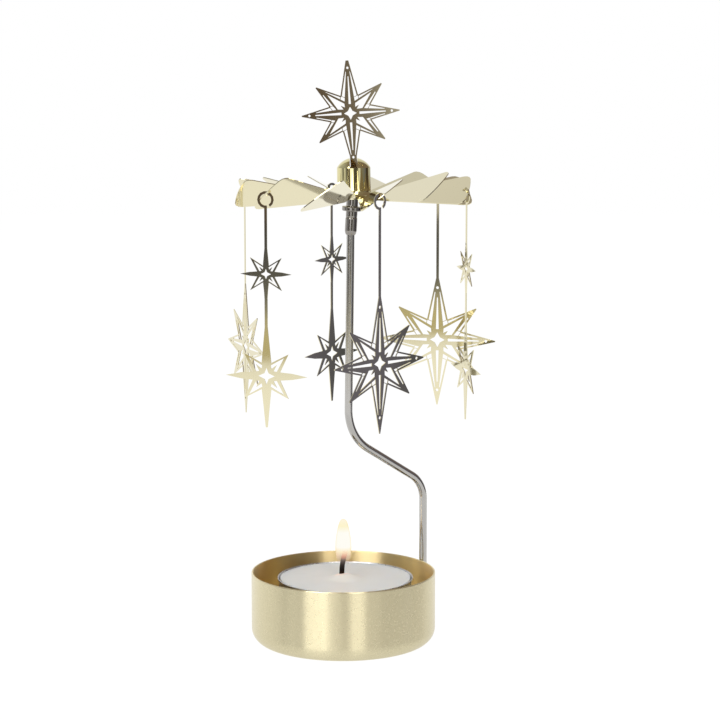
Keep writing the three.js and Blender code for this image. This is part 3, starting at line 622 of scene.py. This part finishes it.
def rounded_corner(before, corner, after, radius, steps):
    """Points of the bend that rounds a path's corner."""
    first = (before - corner).normalized()
    second = (after - corner).normalized()
    half = first.angle(second) / 2
    reach = radius / math.tan(half)
    centre = corner + (first + second).normalized() * (radius / math.sin(half))
    start = corner + first * reach - centre
    end = corner + second * reach - centre
    turn = start.angle(end)
    axis = start.cross(end).normalized()
    return [centre + Matrix.Rotation(turn * step / steps, 3, axis) @ start for step in range(steps + 1)]


def dress(piece, body, material, slot, *nodes):
    """Paints a piece, rides it on its body and lets it stand for its nodes."""
    paint(piece, material)
    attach(piece, body)
    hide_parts(*nodes)


# Pieces


class CAROUSEL_OT_cup(bpy.types.Operator):
    """Draw the cup: flat base, rounded lower corner and rolled rim"""

    bl_idname = "carousel.cup"
    bl_label = "Cup"

    def execute(self, context):
        size = settings().cup
        corner = (size.radius - size.corner, size.corner)
        rim = (size.radius - size.wall / 2, size.height - size.rim)
        profile = [
            (0, 0),
            *arc(corner, size.corner, -QUARTER_TURN, 0, 14),
            *arc(rim, size.rim, 0, math.pi, 8),
            *arc(corner, size.corner - size.wall, 0, -QUARTER_TURN, 14),
            (0, size.wall),
        ]
        cup = turn_profile("drawn_cup", profile, steps=160)
        finish = settings().finish
        # The second colour is the painted reflection inside the bore.
        gold = drawn_plating(
            "Brass plating on drawn steel", finish.cup_gold, linear("FFEAB4"), roughness=0.3,
            grain_mm=0.45, bore=size.radius - size.wall / 2, bore_low=size.corner,
        )
        dress(cup, "holder", gold, "gilded_cup", "cup")
        paint(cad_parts["wire_clip"], gold)
        return {"FINISHED"}


class CAROUSEL_OT_wire(bpy.types.Operator):
    """Bend the wire: foot, two bends and the rotor's post"""

    bl_idname = "carousel.wire"
    bl_label = "Wire"

    def execute(self, context):
        size = settings().wire
        foot_angle = math.radians(33.15)
        foot_height = 6 * MM
        lower_corner_height = 42.9 * MM
        upper_corner_height = 59 * MM
        post_lean = math.radians(0.66)
        wall_gap = 0.25 * MM
        length_in_sleeve = 3.6 * MM
        foot_radius = CUP_RADIUS + wall_gap + size.radius
        foot = Vector((foot_radius * math.cos(foot_angle), foot_radius * math.sin(foot_angle), foot_height))
        lower = Vector((foot.x, foot.y, lower_corner_height))
        post_length = POST_TOP.z - upper_corner_height
        upper = Vector((POST_TOP.x - math.tan(post_lean) * post_length, 0, upper_corner_height))
        end = POST_TOP + HEAD_UP * length_in_sleeve
        path = [
            foot,
            *rounded_corner(foot, lower, upper, size.lower_bend, steps=24),
            *rounded_corner(lower, upper, POST_TOP, size.upper_bend, steps=24),
            *rounded_corner(upper, POST_TOP, end, size.upper_bend, steps=4),
            end,
        ]
        wire = tube("bent_wire", path, size.radius, resolution=10)
        steel = drawn_steel(
            "Bright drawn steel wire", settings().finish.wire_steel, roughness=0.14, line_mm=0.5
        )
        dress(wire, "holder", steel, "bright_steel", "support_wire")
        return {"FINISHED"}


class CAROUSEL_OT_head(bpy.types.Operator):
    """Turn the crimped sleeve, the flanged pin holder and the pin"""

    bl_idname = "carousel.head"
    bl_label = "Head"

    def execute(self, context):
        steel = drawn_steel("Plated turned steel", linear("A19D98"), roughness=0.14, line_mm=0.35)
        hard = drawn_steel("Ground pin steel", linear("96989B"), roughness=0.16, line_mm=0.2)

        bore = 1.22 * MM
        sleeve_radius = 1.66 * MM
        neck_radius = 1.6 * MM
        sleeve_low = 0.02 * MM
        sleeve_high = SLEEVE_LENGTH - 0.02 * MM
        sleeve = turn_profile("crimped_sleeve", [
            (bore, sleeve_low), (1.34 * MM, sleeve_low), (1.54 * MM, 0.5 * MM), (1.63 * MM, 0.95 * MM),
            (sleeve_radius, 1.2 * MM), (sleeve_radius, 4.45 * MM), (1.64 * MM, 4.6 * MM),
            (1.57 * MM, 4.72 * MM), (1.55 * MM, 4.9 * MM), (1.58 * MM, 5.1 * MM),
            (neck_radius, 5.3 * MM), (neck_radius, 6.5 * MM),
            (1.56 * MM, sleeve_high), (bore, sleeve_high), (bore, sleeve_low),
        ], steps=64)
        place_mesh(sleeve, HEAD_PLACE)
        dress(sleeve, "holder", steel, "plated_steel", "sleeve")

        spigot_radius = 1.12 * MM
        spigot_low = SLEEVE_LENGTH - 2.6 * MM
        flange_low = SLEEVE_LENGTH + 0.05 * MM
        flange_high = SLEEVE_LENGTH + 1.3 * MM
        flange_rounding = 0.25 * MM
        flange_flat = 2.5 * MM
        barrel_radius = 1.66 * MM
        barrel_high = flange_high + 4.4 * MM
        pin_bore = 0.55 * MM
        pin_bore_low = barrel_high - 5.6 * MM
        holder = turn_profile("flanged_pin_holder", [
            (0, spigot_low), (spigot_radius, spigot_low),
            (spigot_radius, flange_low), (2.55 * MM, flange_low),
            *arc((flange_flat, flange_low + flange_rounding), flange_rounding, -QUARTER_TURN, 0, 5),
            *arc((flange_flat, flange_high - flange_rounding), flange_rounding, 0, QUARTER_TURN, 5),
            (1.85 * MM, flange_high), (1.7 * MM, flange_high + 0.08 * MM),
            (barrel_radius, flange_high + 0.2 * MM), (barrel_radius, barrel_high - 0.2 * MM),
            (1.5 * MM, barrel_high),
            (pin_bore, barrel_high), (pin_bore, pin_bore_low), (0, pin_bore_low),
        ], steps=64)
        place_mesh(holder, HEAD_PLACE)
        dress(holder, "holder", steel, "plated_steel", "pin_holder")

        pin_radius = 0.5 * MM
        pin_low = pin_bore_low + 0.05 * MM
        point_length = 1.6 * MM
        pin = turn_profile("pointed_pin", [
            (0, pin_low), (pin_radius, pin_low), (pin_radius, PIN_LENGTH - point_length),
            (0.06 * MM, PIN_LENGTH - 0.08 * MM), (0, PIN_LENGTH - 0.02 * MM),
        ], steps=32)
        place_mesh(pin, HEAD_PLACE)
        dress(pin, "holder", hard, "hard_steel", "pivot_pin")
        brass = drawn_steel("Turned brass", linear("C9A65C"), roughness=0.3, line_mm=0.3)
        paint(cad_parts["pivot_seat"], brass)
        return {"FINISHED"}


class CAROUSEL_OT_hub_cap(bpy.types.Operator):
    """Spin the domed hub cap and cut the slot across its dome for the star's tab"""

    bl_idname = "carousel.hub_cap"
    bl_label = "Hub cap"

    def execute(self, context):
        size = settings().cap
        ball = (size.radius**2 + size.dome**2) / (2 * size.dome)
        ball_start = math.acos(size.radius / ball)
        inner = size.radius - size.wall
        inner_ball = ball - size.wall
        inner_start = math.acos(inner / inner_ball)
        flare = size.flare_radius - size.radius

        def flare_curve(radius, low):
            rise = size.flare_height - low
            return [
                (radius + flare * (1 - math.sin(angle)), low + rise * (1 - math.cos(angle)))
                for angle in (QUARTER_TURN * step / 10 for step in range(11))
            ]

        profile = [
            (size.flare_radius, 0),
            (size.flare_radius, size.wall),
            *flare_curve(size.radius, size.wall)[1:],
            *arc((0, size.height - ball), ball, ball_start, QUARTER_TURN, 20),
            *reversed(arc((0, size.height - ball), inner_ball, inner_start, QUARTER_TURN, 20)),
            *reversed(flare_curve(inner, 0)),
            (size.flare_radius, 0),
        ]
        cap = turn_profile("domed_hub_cap", profile, steps=128)
        deselect_all()
        bpy.ops.mesh.primitive_cube_add(size=1, location=(0, 0, size.height))
        slot_block = bpy.context.object
        slot_block.scale = (SLOT_WIDTH, 2 * (size.radius + MM), 2 * size.dome)
        bpy.ops.object.transform_apply(location=True, rotation=True, scale=True)
        select_only(cap)
        cut = cap.modifiers.new("Slot", "BOOLEAN")
        cut.object = slot_block
        cut.operation = "DIFFERENCE"
        cut.solver = "EXACT"
        bpy.ops.object.modifier_apply(modifier=cut.name)
        bpy.data.objects.remove(slot_block)
        smooth(cap, math.radians(20))
        cap_low = SEAT_LOW + SEAT_THICKNESS + SEAT_PLAY + size.wall + size.dome - size.height
        place_mesh(cap, ROTOR_PLACE @ Matrix.Translation((0, 0, cap_low)))
        ball_centre = ROTOR_PLACE @ Vector((0, 0, cap_low + size.height - ball))
        hollow = (ball_centre, ball - size.wall / 2, size.radius - size.wall / 2)
        gold = plated_metal(
            "Gilt on spun brass", settings().finish.cap_gold, roughness=0.05, waviness=0.006, wave_mm=5,
            speck_mm=0.6, bare=hollow,
        )
        dress(cap, "rotor", gold, "gilded_cap", "hub_cap")
        return {"FINISHED"}


class CAROUSEL_OT_sheet_pieces(bpy.types.Operator):
    """Finish the rotor, the top star and the hanging ornaments as gilded sheet"""

    bl_idname = "carousel.sheet_pieces"
    bl_label = "Sheet pieces"

    def execute(self, context):
        gold = plated_metal(
            "Gilded spring steel sheet", settings().finish.sheet_gold, roughness=0.055, waviness=0.006,
            wave_mm=9, speck_mm=0.6,
        )
        for name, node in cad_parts.items():
            if name == "rotor" or "star" in name:
                paint(node, gold)
        return {"FINISHED"}


class CAROUSEL_OT_tealight(bpy.types.Operator):
    """Press the tealight's foil shell and pour its wax"""

    bl_idname = "carousel.tealight"
    bl_label = "Tealight"

    def execute(self, context):
        size = settings().candle
        radius = SHELL_RADIUS
        height = SHELL_HIGH[2] - SHELL_LOW[2]
        place = Matrix.Translation((SHELL_X, 0, SHELL_LOW[2]))
        base = radius - 1.0 * MM
        base_rounding = 0.5 * MM
        sheet = 0.2 * MM
        bead = 0.14 * MM
        shell = turn_profile("pressed_foil_shell", [
            (0, 0), (base, 0),
            *arc((base, base_rounding), base_rounding, -QUARTER_TURN, 0, 5)[1:],
            (radius - 0.36 * MM, height - 0.75 * MM),
            (radius - 0.2 * MM, height - 0.35 * MM),
            (radius, height - 0.25 * MM),
            *arc((radius - bead, height - bead), bead, 0, math.pi, 7),
            (radius - 0.5 * MM, height - 0.5 * MM),
            (radius - 0.72 * MM, 0.55 * MM), (base, sheet), (0, sheet),
        ], steps=128)
        place_mesh(shell, place)
        foil = drawn_steel("Pressed aluminium foil", linear("CFCFD2"), roughness=0.28, line_mm=0.8)
        dress(shell, "tealight", foil, "foil", "tealight_shell")

        top = height - WAX_BELOW_RIM
        inside = radius - 0.8 * MM
        wax_low = 3.9 * MM
        mound = [
            (share * size.mound_radius, top + size.mound_height * (1 + math.cos(math.pi * share)) / 2)
            for share in (1 - step / 14 for step in range(15))
        ]
        body = turn_profile("poured_wax", [
            (0, wax_low), (inside - 0.2 * MM, wax_low),
            (inside, top + 0.3 * MM), (inside - 0.2 * MM, top + 0.2 * MM),
            (inside - 0.6 * MM, top + 0.06 * MM), (inside - 1.2 * MM, top),
            *mound,
        ], steps=128)
        place_mesh(body, place)
        glow_centre = (WICK_X, WICK_Y, SHELL_LOW[2] + top + size.mound_height)
        wax = paraffin_wax("Poured paraffin", settings().finish.wax_white, glow_centre)
        dress(body, "tealight", wax, "paraffin", "wax")
        tin = drawn_steel("Pressed tin plate", linear("BDBFC1"), roughness=0.3, line_mm=0.4)
        paint(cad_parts["wick_foot"], tin)
        return {"FINISHED"}


class CAROUSEL_OT_wick_and_flame(bpy.types.Operator):
    """Curl the braided wick and shape the flame"""

    bl_idname = "carousel.wick_and_flame"
    bl_label = "Wick and flame"

    def execute(self, context):
        size = settings().candle
        top = SHELL_HIGH[2] - WAX_BELOW_RIM + size.mound_height
        depth_in_wax = 2.5 * MM
        lean_to_right = 1.05 * MM
        foot = Vector((WICK_X, WICK_Y, top - depth_in_wax))
        mouth = Vector((WICK_X, WICK_Y, top))
        tip = Vector((WICK_X + lean_to_right, WICK_Y, WICK_HIGH[2] - 0.3 * MM))
        handle = Vector((WICK_X, WICK_Y, (mouth.z + tip.z) / 2))
        curl = [
            mouth * (1 - t) ** 2 + handle * 2 * t * (1 - t) + tip * t**2
            for t in (step / 14 for step in range(15))
        ]
        wick = tube("braided_wick", [foot, *curl], size.wick_radius, resolution=4)
        cotton = charred_cotton("Charred braided cotton", top, tip.z)
        dress(wick, "tealight", cotton, "braided_cotton", "wick")

        low = 19.5 * MM
        high = low + size.flame_height
        half = size.flame_width / 2
        shares = [
            (0.0, 0.0), (0.02, 0.25), (0.07, 0.45), (0.15, 0.66), (0.27, 0.87), (0.38, 0.97), (0.47, 1.0),
            (0.57, 0.97), (0.66, 0.9), (0.75, 0.8), (0.82, 0.7), (0.88, 0.6), (0.93, 0.49), (0.97, 0.35),
            (0.99, 0.2), (1.0, 0.0),
        ]
        flame = turn_profile(
            "flame", [(half * wide, low + (high - low) * up) for up, wide in shares], steps=48
        )
        select_only(flame)
        rounder = flame.modifiers.new("Round", "SUBSURF")
        rounder.levels = 2
        rounder.render_levels = 2
        bpy.ops.object.modifier_apply(modifier=rounder.name)
        smooth(flame, math.pi)
        place_mesh(flame, Matrix.Translation((0, WICK_Y, 0)))
        finish = settings().finish
        gas = burning_gas("Burning candle gas", finish.flame_heart, finish.flame_edge, low, high)
        paint(flame, gas)
        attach(flame, "tealight")
        flame.visible_shadow = False
        return {"FINISHED"}


# Stage


def area_light(name, azimuth, elevation, distance, width, height, power, colour):
    """A softbox that looks at the rotor from an azimuth right of the front and an elevation."""
    target = Vector((0, 0, 0.08))
    turn = math.radians(azimuth)
    rise = math.radians(elevation)
    away = Vector((math.sin(turn) * math.cos(rise), -math.cos(turn) * math.cos(rise), math.sin(rise)))
    deselect_all()
    bpy.ops.object.light_add(type="AREA", location=target + away * distance)
    lamp = bpy.context.object
    lamp.name = name
    lamp.rotation_euler = (-away).to_track_quat("-Z", "Y").to_euler()
    lamp.data.shape = "RECTANGLE"
    lamp.data.size = width
    lamp.data.size_y = height
    lamp.data.energy = power
    lamp.data.color = colour[:3]
    return lamp


def flame_light(name, power, colour, radius):
    """A small round lamp inside the flame."""
    deselect_all()
    bpy.ops.object.light_add(type="POINT", location=(0, WICK_Y, FLAME_LAMP_HEIGHT))
    lamp = bpy.context.object
    lamp.name = name
    lamp.data.energy = power
    lamp.data.color = colour[:3]
    lamp.data.shadow_soft_size = radius
    return lamp


def azimuth_ramp(world, share, stops):
    """A ramp of (azimuth in degrees, colour) pairs round the horizon."""
    ramp = add_node(world, "ShaderNodeValToRGB", links={"Fac": (share, "Result")})
    set_stops(ramp, [((angle + 180) / 360, colour) for angle, colour in stops])
    return ramp


def studio_world():
    """Plain white to the camera; the metal mirrors a dim room with bright bands and a white back.

    The horizon and the walls above it are ramps round the compass, where 0 is the front and 90 the
    right. Matt surfaces get an even soft light instead, so that the bands don't light them.
    """
    world = bpy.data.worlds.new("Studio")
    world.use_nodes = True
    world.node_tree.nodes.clear()
    place = add_node(world, "ShaderNodeTexCoord")
    split = add_node(world, "ShaderNodeSeparateXYZ", links={0: (place, "Generated")})
    front = math_node(world, "MULTIPLY", (split, "Y"), -1.0)
    azimuth = math_node(world, "ARCTAN2", (split, "X"), (front, "Value"))
    share = add_node(
        world, "ShaderNodeMapRange", {"From Min": -math.pi, "From Max": math.pi},
        {"Value": (azimuth, "Value")},
    )
    horizon = azimuth_ramp(world, share, [
        (-180, grey(1.0)), (-112, grey(0.95)), (-96, grey(0.8)), (-84, grey(0.5)), (-79, grey(0.12)),
        (-75, grey(0.2)), (-66, grey(0.75)), (-60, grey(0.6)), (-52, grey(0.2)), (-40, linear("5A4D44")),
        (-27, linear("5A4D44")), (-22, grey(1.5)), (-5, grey(1.5)), (2, linear("4F4B42")),
        (28, linear("5B584C")), (34, grey(0.8)), (42, grey(0.8)), (50, grey(0.25)), (70, grey(0.2)),
        (91.5, linear("6A6980")), (91.9, linear("3B4138")), (108, linear("4A3A30")), (116, linear("4A3A30")),
        (124, grey(0.5)), (158, grey(0.5)), (172, grey(0.95)), (180, grey(1.0)),
    ])
    walls = azimuth_ramp(world, share, [
        (-180, grey(0.85)), (-150, grey(0.9)), (-140, grey(0.75)), (-130, grey(0.5)), (-95, grey(0.38)),
        (-60, grey(0.34)), (0, linear("8C8078")), (60, linear("8A7F76")), (95, linear("7E7068")),
        (140, linear("7E7068")), (151, grey(0.7)), (165, grey(0.8)), (180, grey(0.85)),
    ])
    ceiling = linear("84766C")
    rise = add_node(
        world, "ShaderNodeMapRange",
        {"interpolation_type": "SMOOTHSTEP", "From Min": 0.08, "From Max": 0.3}, {"Value": (split, "Z")},
    )
    zenith = add_node(
        world, "ShaderNodeMapRange",
        {"interpolation_type": "SMOOTHSTEP", "From Min": 0.7, "From Max": 1.0}, {"Value": (split, "Z")},
    )
    sides = add_node(
        world, "ShaderNodeMix", {"data_type": "RGBA"},
        {"Factor": (rise, "Result"), COLOUR_A: (horizon, "Color"), COLOUR_B: (walls, "Color")},
    )
    dome = add_node(
        world, "ShaderNodeMix", {"data_type": "RGBA", COLOUR_B: ceiling},
        {"Factor": (zenith, "Result"), COLOUR_A: (sides, MIXED)},
    )
    path = add_node(world, "ShaderNodeLightPath")
    mirrored = add_node(world, "ShaderNodeBackground", {"Strength": 1.0}, {"Color": (dome, MIXED)})
    soft = add_node(world, "ShaderNodeBackground", {"Color": grey(1.0), "Strength": 0.28})
    plain = add_node(world, "ShaderNodeBackground", {"Color": grey(1.0), "Strength": 1.0})
    lit = mix_shaders(world, (path, "Is Glossy Ray"), (soft, "Background"), (mirrored, "Background"))
    seen = mix_shaders(world, (path, "Is Camera Ray"), (lit, "Shader"), (plain, "Background"))
    add_node(world, "ShaderNodeOutputWorld", links={"Surface": (seen, "Shader")})
    bpy.context.scene.world = world


def floor_material():
    """Matt white paper that is nearly white to the camera and keeps the object's shadow.

    The metal mirrors it as white behind the object. In front it mirrors a painted pool of light,
    which turns warm and then into painted shade with its distance from the object.
    """
    material, place = new_material("Matt white paper")
    grain = noise(material, place, 2 * MM, detail=2.0)
    tone = add_node(
        material, "ShaderNodeMix",
        {"data_type": "RGBA", "blend_type": "MULTIPLY", "Factor": 0.01, COLOUR_A: grey(0.86)},
        {COLOUR_B: (grain, "Fac")},
    )
    paper = add_node(material, "ShaderNodeBsdfDiffuse", links={"Color": (tone, MIXED)})
    white = add_node(material, "ShaderNodeEmission", {"Color": grey(1.0), "Strength": 1.1})
    split = add_node(material, "ShaderNodeSeparateXYZ", links={0: (place, "Object")})
    forward = add_node(
        material, "ShaderNodeMapRange", {"From Min": 0.05, "From Max": -0.05}, {"Value": (split, "Y")}
    )
    distance = length_of(material, place, "Object")
    reach = 1.2
    outward = add_node(material, "ShaderNodeMapRange", {"From Max": reach}, {"Value": (distance, "Value")})
    # Painted light, seen only in the metal: a pool of light near the object, a warm band, then painted
    # shade.
    painted_light_pool = add_node(material, "ShaderNodeValToRGB", links={"Fac": (outward, "Result")})
    set_stops(painted_light_pool, [
        (length / reach, shade) for length, shade in (
            (0.15, grey(0.8)), (0.36, grey(0.96)), (0.5, grey(0.94)), (0.605, grey(0.84)),
            (0.613, linear("A89C68")), (0.65, linear("B4A97C")), (0.7, linear("C0B68C")),
            (0.78, linear("B0A98F")), (0.84, grey(0.16)), (0.9, grey(0.08)), (1.05, linear("2A2A36")),
        )
    ])
    sides = add_node(
        material, "ShaderNodeMix", {"data_type": "RGBA", COLOUR_A: grey(0.93)},
        {"Factor": (forward, "Result"), COLOUR_B: (painted_light_pool, "Color")},
    )
    mirrored = add_node(material, "ShaderNodeEmission", {"Strength": 1.08}, {"Color": (sides, MIXED)})
    path = add_node(material, "ShaderNodeLightPath")
    white_to_camera = 0.88
    light_to_metal = 0.94
    camera_share = math_node(material, "MULTIPLY", (path, "Is Camera Ray"), white_to_camera)
    glossy_share = math_node(material, "MULTIPLY", (path, "Is Glossy Ray"), light_to_metal)
    shown = mix_shaders(material, (glossy_share, "Value"), (paper, "BSDF"), (mirrored, "Emission"))
    seen = mix_shaders(material, (camera_share, "Value"), (shown, "Shader"), (white, "Emission"))
    return finish_material(material, seen, "Shader")


class CAROUSEL_OT_stage(bpy.types.Operator):
    """Lay the floor, hang the softboxes and set the camera"""

    bl_idname = "carousel.stage"
    bl_label = "Stage"

    def execute(self, context):
        stage = settings().stage
        left, right, front, back = -1.5, 0.34, -1.3, 1.5
        below_cup = 0.02 * MM
        deselect_all()
        bpy.ops.mesh.primitive_plane_add(
            size=1, location=((left + right) / 2, (front + back) / 2, -below_cup)
        )
        floor = bpy.context.object
        floor.name = "paper_floor"
        floor.scale = (right - left, back - front, 1)
        bpy.ops.object.transform_apply(location=True, rotation=True, scale=True)
        paint(floor, floor_material())

        area_light(
            "left_softbox", azimuth=-35, elevation=37, distance=1.2, width=0.64, height=1.25, power=9.8,
            colour=grey(1.0),
        )
        area_light(
            "right_softbox", azimuth=19, elevation=37, distance=1.2, width=0.4, height=1.25, power=5,
            colour=grey(1.0),
        )
        flame_light("flame_glow", power=0.0008, colour=linear("FFB060"), radius=2 * MM)
        # The second lamp gives the metal its glint of the flame and lights no matt surface.
        glint = flame_light("flame_glint", power=0.0012, colour=linear("FFE0A0"), radius=4 * MM)
        glint.visible_diffuse = False
        studio_world()

        bpy.ops.object.camera_add(
            location=(stage.camera_side, -stage.camera_distance, stage.camera_height),
            rotation=(QUARTER_TURN - stage.camera_pitch, 0, 0),
        )
        camera = bpy.context.object
        camera.name = "camera"
        camera.data.sensor_width = 36
        camera.data.lens = stage.camera_lens
        camera.data.clip_start = 0.01
        camera.data.clip_end = 20
        context.scene.camera = camera
        context.scene.view_settings.view_transform = "Standard"
        return {"FINISHED"}


class CAROUSEL_PT_panel(bpy.types.Panel):
    """The carousel's pieces and sizes in the sidebar"""

    bl_idname = "CAROUSEL_PT_panel"
    bl_label = "Candle Carousel"
    bl_space_type = "VIEW_3D"
    bl_region_type = "UI"
    bl_category = "Carousel"

    def draw(self, context):
        column = self.layout.column()
        for operator in PIECES:
            column.operator(operator.bl_idname)
        for group in ("cup", "wire", "cap", "candle", "finish", "stage"):
            box = self.layout.box()
            values = getattr(settings(), group)
            for name in values.__annotations__:
                box.prop(values, name)


PIECES = (
    CAROUSEL_OT_cup,
    CAROUSEL_OT_wire,
    CAROUSEL_OT_head,
    CAROUSEL_OT_hub_cap,
    CAROUSEL_OT_sheet_pieces,
    CAROUSEL_OT_tealight,
    CAROUSEL_OT_wick_and_flame,
    CAROUSEL_OT_stage,
)
CLASSES = (
    CupSettings, WireSettings, CapSettings, CandleSettings, FinishSettings, StageSettings, CarouselSettings,
    *PIECES, CAROUSEL_PT_panel,
)


def register():
    """Registers the settings, the operators and the panel."""
    for cls in CLASSES:
        bpy.utils.register_class(cls)
    bpy.types.Scene.candle_carousel = bpy.props.PointerProperty(type=CarouselSettings)


def unregister():
    """Removes the panel, the operators and the settings."""
    del bpy.types.Scene.candle_carousel
    for cls in reversed(CLASSES):
        bpy.utils.unregister_class(cls)


def main():
    """Builds every piece and the stage."""
    register()
    bpy.ops.carousel.cup()
    bpy.ops.carousel.wire()
    bpy.ops.carousel.head()
    bpy.ops.carousel.hub_cap()
    bpy.ops.carousel.sheet_pieces()
    bpy.ops.carousel.tealight()
    bpy.ops.carousel.wick_and_flame()
    bpy.ops.carousel.stage()
    deselect_all()


if __name__ == "__main__":
    main()
